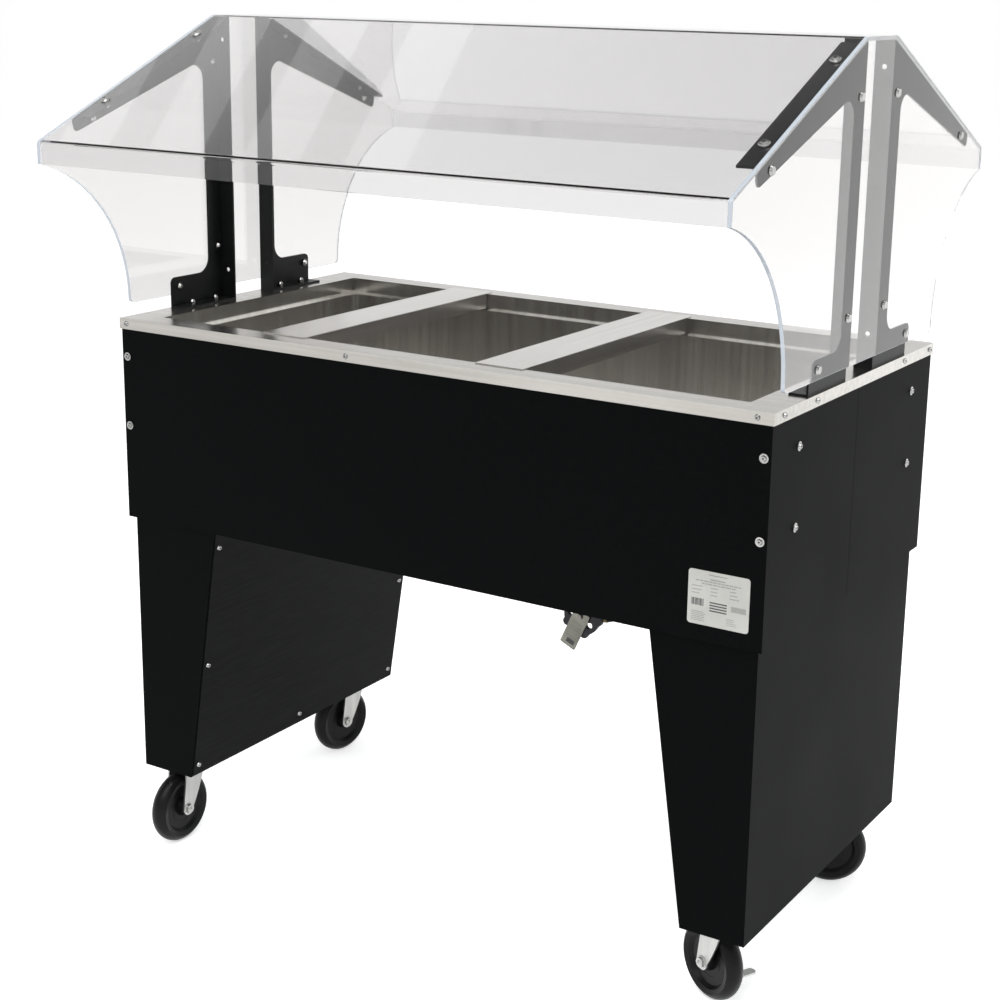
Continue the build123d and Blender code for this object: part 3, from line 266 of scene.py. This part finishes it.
def make_materials():
    along_x = (0.02, 1, 1)
    along_y = (1, 0.02, 1)
    return {
        "stainless": brushed("stainless_deck", (0.34, 0.328, 0.305), (0.52, 0.502, 0.475), along_x,
                             0.16, 0.28),
        "stainless_bar": brushed("stainless_bar", (0.48, 0.465, 0.445), (0.64, 0.62, 0.60), along_y,
                                 0.20, 0.30),
        # Painted light: the tub steel is given a lighter colour than the deck's steel so that the tub walls
        # read as brightly lit.
        "tub": brushed("stainless_tub_painted_light", (0.52, 0.508, 0.482), (0.72, 0.708, 0.682), (1, 1, 0.02), 0.14, 0.26),
        "black_sheet": powder("black_sheet", (0.0006, 0.0009, 0.0010), (0.0032, 0.0036, 0.0036), 0.48,
                              specular=0.022),
        "black_panel": powder("black_panel", (0.0014, 0.0017, 0.0016), (0.0052, 0.0056, 0.0054), 0.46,
                              300.0, 0.12, 0.045, (1, 0.04, 1)),
        "bracket": powder("black_bracket", (0.0020, 0.0024, 0.0024), (0.0055, 0.0060, 0.0060), 0.40,
                          700.0, 0.06, 0.14),
        "insulation": plastic("mineral_wool", (0.52, 0.48, 0.36), (0.72, 0.68, 0.56), 0.92, 0.1, 60.0, 0.6),
        "sheath": brushed("heater_sheath", (0.16, 0.145, 0.14), (0.28, 0.26, 0.25), along_y, 0.40, 0.58),
        "galvanised": brushed("galvanised_steel", (0.38, 0.40, 0.41), (0.58, 0.60, 0.61), (1, 1, 1),
                              0.36, 0.5),
        "zinc": brushed("bright_zinc", (0.36, 0.36, 0.35), (0.54, 0.54, 0.525), (1, 1, 0.08), 0.30, 0.44),
        "rubber": plastic("caster_rubber", (0.0016, 0.0016, 0.0017), (0.0045, 0.0045, 0.0047), 0.34, 0.14),
        "roof_acrylic": acrylic("clear_roof", (0.82, 0.812, 0.815), (0.44, 0.47, 0.51), "X"),
        "end_acrylic": acrylic("clear_end", (0.80, 0.79, 0.785), (0.46, 0.50, 0.55), "rim"),
        "screw": brushed("bright_screw", (0.24, 0.24, 0.235), (0.44, 0.44, 0.43), (1, 1, 1),
                         0.14, 0.28, 0.02),
        "brass": brushed("dull_bronze", (0.09, 0.070, 0.040), (0.20, 0.155, 0.09), (1, 1, 1), 0.34, 0.50),
        "handwheel": powder("handwheel_enamel", (0.004, 0.004, 0.006), (0.011, 0.011, 0.015), 0.28,
                            150.0, 0.25, 0.22),
        "tag": plastic("tag_film", (0.11, 0.11, 0.088), (0.27, 0.27, 0.225), 0.38, 0.4, 160.0),
        "black_plastic": plastic("black_moulding", (0.010, 0.010, 0.011), (0.020, 0.020, 0.021), 0.42),
        "label_face": plastic("label_face", (0.31, 0.31, 0.292), (0.37, 0.37, 0.35), 0.45, 0.3),
        "label_dark": plastic("label_dark", (0.014, 0.014, 0.016), (0.030, 0.030, 0.032), 0.40),
        "label_grey": plastic("label_grey", (0.17, 0.17, 0.165), (0.25, 0.25, 0.24), 0.45),
        "tag_ink": plastic("tag_ink", (0.09, 0.09, 0.075), (0.15, 0.15, 0.13), 0.45),
        # The shadow_gap colour is painted shade: near-black flat crosses stand in for the shaded screw
        # recesses.
        "shadow_gap": plastic("shadow_gap", (0.004, 0.004, 0.004), (0.008, 0.008, 0.008), 0.8, 0.1),
    }


def dress(material, *names):
    for name in names:
        slots = nodes[name].data.materials
        slots.clear()
        slots.append(material)


def round_edges(name, width, segments=2):
    """Soften a CAD piece's edges with a modifier."""
    bevel = nodes[name].modifiers.new("soft_edge", "BEVEL")
    bevel.width = width
    bevel.segments = segments
    bevel.limit_method = "ANGLE"
    bevel.angle_limit = math.radians(40)
    bevel.harden_normals = True


def dress_nodes(m):
    casters = ("front_left", "front_right", "rear_left", "rear_right")
    dress(m["stainless"], "top_deck", "drain_strainer")
    dress(m["stainless_bar"], "adaptor_bar_left", "adaptor_bar_right")
    dress(m["tub"], "tub_liner", "drain_outlet")
    dress(m["insulation"], "tub_insulation")
    dress(m["sheath"], "tub_heaters")
    dress(m["galvanised"], "heat_shield", "body_frame", "bottom_pan", "drain_pipe",
          "caster_rail_left", "caster_rail_right")
    dress(m["black_sheet"], "apron_front", "apron_rear", "pedestal_left", "pedestal_right")
    dress(m["black_panel"], "access_panel_left", "access_panel_right")
    dress(m["bracket"], *[f"bracket_{f}_{h}" for f in ("front", "rear") for h in ("left", "right")])
    dress(m["roof_acrylic"], "canopy_roof")
    dress(m["end_acrylic"], "end_panel_left", "end_panel_right")
    for corner in casters:
        dress(m["zinc"], f"caster_plate_{corner}", f"caster_fork_{corner}", f"caster_axle_{corner}")
        dress(m["rubber"], f"caster_wheel_{corner}")
    dress(m["zinc"], "brake_pedal_front_right", "caster_bolts")
    dress(m["screw"], "pan_screws", "washer_screws", "guard_bolts", "roof_screws")
    dress(m["brass"], "drain_locknut", "valve_body", "valve_gate")
    dress(m["sheath"], "valve_stem")
    dress(m["handwheel"], "valve_handwheel")
    dress(m["tag"], "valve_tag")
    dress(m["black_plastic"], "thermostat", "thermostat_knob", "power_inlet")
    dress(m["label_face"], "rating_label")


# ---- detail pieces ---------------------------------------------------------------------------
def solids_of(name):
    """The separate solids of a CAD piece, as lists of points."""
    mesh = nodes[name].data
    group = {}

    def root(key):
        while group[key] != key:
            group[key] = group[group[key]]
            key = group[key]
        return key

    keys = [tuple(round(c, 6) for c in v.co) for v in mesh.vertices]
    for key in keys:
        group[key] = key
    for polygon in mesh.polygons:
        first = root(keys[polygon.vertices[0]])
        for index in polygon.vertices[1:]:
            group[root(keys[index])] = first
    found = {}
    for key in group:
        found.setdefault(root(key), []).append(Vector(key))
    return list(found.values())


def new_piece(name, build, material, body, smooth=False):
    """Make a mesh piece with a bmesh builder and hang it on a CAD body."""
    mesh = bpy.data.meshes.new(name)
    work = bmesh.new()
    build(work)
    bmesh.ops.recalc_face_normals(work, faces=work.faces)
    work.to_mesh(mesh)
    work.free()
    for polygon in mesh.polygons:
        polygon.use_smooth = smooth
    piece = bpy.data.objects.new(name, mesh)
    scene.collection.objects.link(piece)
    mesh.materials.append(material)
    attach(piece, body)
    return piece


def add_block(work, centre, size, turn=None):
    """A rectangular block, turned by a 3x3 matrix whose columns are its axes."""
    matrix = Matrix.Translation(centre) @ (turn.to_4x4() if turn else Matrix.Identity(4))
    matrix = matrix @ Matrix.Diagonal((*size, 1.0))
    bmesh.ops.create_cube(work, size=1.0, matrix=matrix)


def add_lathe(work, centre, axis, profile, steps=48):
    """A turned ring from (distance along the axis, radius) points, closed on itself."""
    frame_z = Vector(axis).normalized()
    turn = frame_z.to_track_quat("Z", "Y").to_matrix()
    rings = []
    for step in range(steps):
        angle = 2 * math.pi * step / steps
        spoke = [Vector((r * math.cos(angle), r * math.sin(angle), h)) for h, r in profile]
        rings.append([work.verts.new(Vector(centre) + turn @ point) for point in spoke])
    for step in range(steps):
        here, there = rings[step], rings[(step + 1) % steps]
        for i in range(len(profile)):
            j = (i + 1) % len(profile)
            work.faces.new((here[i], here[j], there[j], there[i]))


def axes_from(normal):
    """A turn whose third axis is the normal and whose second axis leans upwards."""
    third = Vector(normal).normalized()
    lean = Vector((0, 0, 1)) if abs(third.z) < 0.9 else Vector((0, 1, 0))
    first = lean.cross(third).normalized()
    return Matrix((first, third.cross(first), third)).transposed()


def screw_normal(points):
    """Which way a sheet screw's head faces, from where it sits on the table."""
    middle = sum(points, Vector()) / len(points)
    if middle.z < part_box("apron_front")[0].z:
        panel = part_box("access_panel_right")
        lean = (panel[1].x - panel[0].x) / (panel[1].z - panel[0].z)
        side = 1 if middle.x > 0 else -1
        return Vector((-side, 0, -lean)).normalized()
    end_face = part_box("apron_front")[1].x
    if max(abs(p.x) for p in points) > end_face + 0.0005:
        return Vector((1 if middle.x > 0 else -1, 0, 0))
    return Vector((0, 1 if middle.y > 0 else -1, 0))


def head_top(points, normal):
    """The middle of a screw head's outer face."""
    reach = max(p.dot(normal) for p in points)
    cap = [p for p in points if p.dot(normal) > reach - 0.0002]
    return sum(cap, Vector()) / len(cap)


def make_recess_shade_marks(m):
    """Cross recesses in the sheet screws and in the guard's roof screws, drawn as flat near-black crosses on
    the heads: painted shade in place of cut recesses.
    """
    rng = random.Random(7)

    def build(work, name, size, normal_of):
        for points in solids_of(name):
            normal = normal_of(points)
            top = head_top(points, normal)
            turn = axes_from(normal) @ Matrix.Rotation(rng.uniform(0, math.pi), 3, "Z")
            # Each cross is two thin dark blocks laid on the head surface: painted shade of the recess.
            for length, width in ((size, size * 0.2), (size * 0.2, size)):
                add_block(work, top - normal * 0.00005, (length, width, 0.0003), turn)

    for name, size in (("pan_screws", 0.0044), ("washer_screws", 0.0044)):
        new_piece(f"{name}_recess", lambda work, n=name, w=size: build(work, n, w, screw_normal),
                  m["shadow_gap"], "table")
    slope = (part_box("canopy_roof")[1].z - ROOF_BEND_Z) / (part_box("canopy_roof")[1].y - RIDGE_HALF_Y)

    def roof_normal(points):
        middle = sum(points, Vector()) / len(points)
        return Vector((0, math.copysign(slope, middle.y), 1)).normalized()

    new_piece("roof_screws_recess", lambda work: build(work, "roof_screws", 0.0050, roof_normal),
              m["shadow_gap"], "table")


def make_label_print(m):
    """Generic bars and blocks on the label."""
    low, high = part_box("rating_label")
    face = low.y - 0.00006
    width, height = high.x - low.x, high.z - low.z

    def bars(work, rows):
        for left, top, wide, tall in rows:
            centre = Vector((low.x + (left + wide / 2) * width, face, high.z - (top + tall / 2) * height))
            add_block(work, centre, (wide * width, 0.00015, tall * height))

    rng = random.Random(11)
    fine = [(0.33, 0.055, 0.30, 0.018), (0.36, 0.135, 0.24, 0.022)]
    for row, (left, wide) in enumerate(((0.12, 0.74), (0.22, 0.52))):
        x = left
        while x < left + wide:
            word = rng.uniform(0.03, 0.08)
            fine.append((x, 0.18 + 0.045 * row, word, 0.022))
            x += word + 0.012
    for row in range(3):
        for column in range(3):
            fine.append((0.06 + 0.31 * column, 0.29 + 0.065 * row, rng.uniform(0.10, 0.22), 0.016))
    for row in range(6):
        fine.append((0.06, 0.76 + 0.032 * row, rng.uniform(0.16, 0.26), 0.012))
    for row in range(4):
        fine.append((0.64, 0.80 + 0.036 * row, rng.uniform(0.10, 0.16), 0.012))
    new_piece("label_lines", lambda work: bars(work, fine), m["label_grey"], "table")
    code = []
    x = 0.06
    while x < 0.27:
        bar = rng.choice((0.006, 0.010, 0.016))
        code.append((x, 0.52, bar, 0.13))
        x += bar + rng.choice((0.006, 0.010))
    dark = code + [(0.36, 0.55 + 0.05 * row, 0.28, 0.022) for row in range(4)]
    new_piece("label_blocks", lambda work: bars(work, dark), m["label_dark"], "table")
    new_piece("label_patch", lambda work: bars(work, [(0.71, 0.56, 0.24, 0.10)]), m["label_grey"], "table")


def make_tag_print(m):
    """Blocks on the hanging tag."""
    low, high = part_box("valve_tag")
    pivot = next(j for j in frame["joints"] if j["name"] == "tag_swing")["pos_m"]
    along = Vector((math.cos(TAG_LEAN), 0, -math.sin(TAG_LEAN)))
    down = Vector((-math.sin(TAG_LEAN), 0, -math.cos(TAG_LEAN)))
    turn = Matrix((along, -down, Vector((0, -1, 0)))).transposed()

    def build(work, rows):
        for x, y, wide, tall in rows:
            centre = Vector((pivot[0], low.y - 0.00004, pivot[2])) + along * x + down * y
            add_block(work, centre, (wide, tall, 0.00015), turn)

    block = [(0.002, 0.050, 0.015, 0.008)]
    new_piece("tag_block", lambda work: build(work, block), m["label_dark"], "tag")
    lines = [(0.001, 0.0415, 0.021, 0.0012), (0.003, 0.0445, 0.014, 0.0010), (0.0, 0.0135, 0.019, 0.0012),
             (-0.002, 0.0170, 0.015, 0.0010), (0.0, 0.022, 0.019, 0.0010), (0.0, 0.027, 0.017, 0.0010)]
    new_piece("tag_lines", lambda work: build(work, lines), m["tag_ink"], "tag")


def make_caster_details(m):
    """Moulding rings on the wheels, axle washers and ball race rings."""
    for joint in frame["joints"]:
        if joint["name"].startswith("roll_"):
            corner = joint["name"][5:]
            centre, axis = joint["pos_m"], joint["axis"]

            def rings(work, c=centre, a=axis):
                for side in (-1, 1):
                    for radius, wide in ((0.0490, 0.0007), (0.0265, 0.0008)):
                        depth = 0.0145 if radius > 0.04 else 0.0080
                        sunk, proud = side * (depth - 0.001), side * (depth + 0.0004)
                        profile = [(sunk, radius - wide), (proud, radius - wide * 0.5),
                                   (proud, radius + wide * 0.5), (sunk, radius + wide)]
                        add_lathe(work, c, a, profile, 72)

            new_piece(f"wheel_rings_{corner}", rings, m["rubber"], f"wheel_{corner}", True)

            def washers(work, c=centre, a=axis):
                for side in (-1, 1):
                    washer = [(0.0221, 0.0076), (0.0221, 0.0102), (0.0229, 0.0100), (0.0229, 0.0076)]
                    cap = [(0.0268, 0.0), (0.0268, 0.0046), (0.0279, 0.0036), (0.0283, 0.0)]
                    add_lathe(work, c, a, [(side * h, r) for h, r in washer], 40)
                    add_lathe(work, c, a, [(side * h, r) for h, r in cap], 32)

            new_piece(f"axle_washers_{corner}", washers, m["zinc"], f"swivel_{corner}", True)
        if joint["name"].startswith("swivel_"):
            corner = joint["name"][7:]
            centre = Vector(joint["pos_m"])

            def race(work, c=centre):
                base = Vector((c.x, c.y, SWIVEL_RACE_Z))
                add_lathe(work, base, (0, 0, 1), [(-0.0045, 0.0214), (-0.0030, 0.0236), (-0.0008, 0.0240),
                                                  (-0.0002, 0.0214)], 56)

            new_piece(f"swivel_race_{corner}", race, m["zinc"], f"swivel_{corner}", True)


def make_knob_details(m):
    """Grip ribs on the thermostat knob and tick marks on the panel around it."""
    joint = next(j for j in frame["joints"] if j["name"] == "knob_turn")
    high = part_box("thermostat_knob")[1]
    centre = Vector((joint["pos_m"][0], 0, joint["pos_m"][2]))

    def ribs(work):
        for step in range(24):
            angle = 2 * math.pi * step / 24
            out = Vector((math.cos(angle), 0, math.sin(angle)))
            turn = Matrix((out, Vector((0, 1, 0)), out.cross(Vector((0, 1, 0))))).transposed()
            spot = centre + out * 0.0161 + Vector((0, high.y - 0.0062, 0))
            add_block(work, spot, (0.0012, 0.0108, 0.0016), turn)

    new_piece("knob_ribs", ribs, m["black_plastic"], "knob")
    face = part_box("apron_rear")[1].y

    def ticks(work):
        for step in range(11):
            angle = math.radians(-45 + 27 * step)
            out = Vector((math.cos(angle), 0, math.sin(angle)))
            turn = Matrix((out, Vector((0, 1, 0)), out.cross(Vector((0, 1, 0))))).transposed()
            length = 0.005 if step % 5 == 0 else 0.003
            add_block(work, centre + out * (0.0235 + length / 2) + Vector((0, face + 0.00003, 0)),
                      (length, 0.0002, 0.0009), turn)

    new_piece("knob_ticks", ticks, m["label_face"], "table")


def make_tub_details(m):
    """Corner welds of the tub, above its ledge."""
    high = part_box("tub_liner")[1]
    deck_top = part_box("top_deck")[1].z
    half_x = high.x - 0.012 - 0.0005
    half_y = high.y - 0.012 - 0.0005
    ledge = deck_top - 0.028

    def welds(work):
        for sx in (-1, 1):
            for sy in (-1, 1):
                corner = Vector((sx * (half_x - 0.0006), sy * (half_y - 0.0006), (ledge + deck_top) / 2))
                add_block(work, corner, (0.0016, 0.0016, deck_top - ledge - 0.004))

    new_piece("tub_corner_welds", welds, m["tub"], "table")


make_camera()
make_studio()
materials = make_materials()
dress_nodes(materials)
for edge_node, edge_width in (("top_deck", 0.0011), ("thermostat_knob", 0.0008),
                              ("apron_front", 0.0006), ("apron_rear", 0.0006),
                              ("pedestal_left", 0.0006), ("pedestal_right", 0.0006)):
    round_edges(edge_node, edge_width)
make_recess_shade_marks(materials)
make_label_print(materials)
make_tag_print(materials)
make_caster_details(materials)
make_knob_details(materials)
make_tub_details(materials)
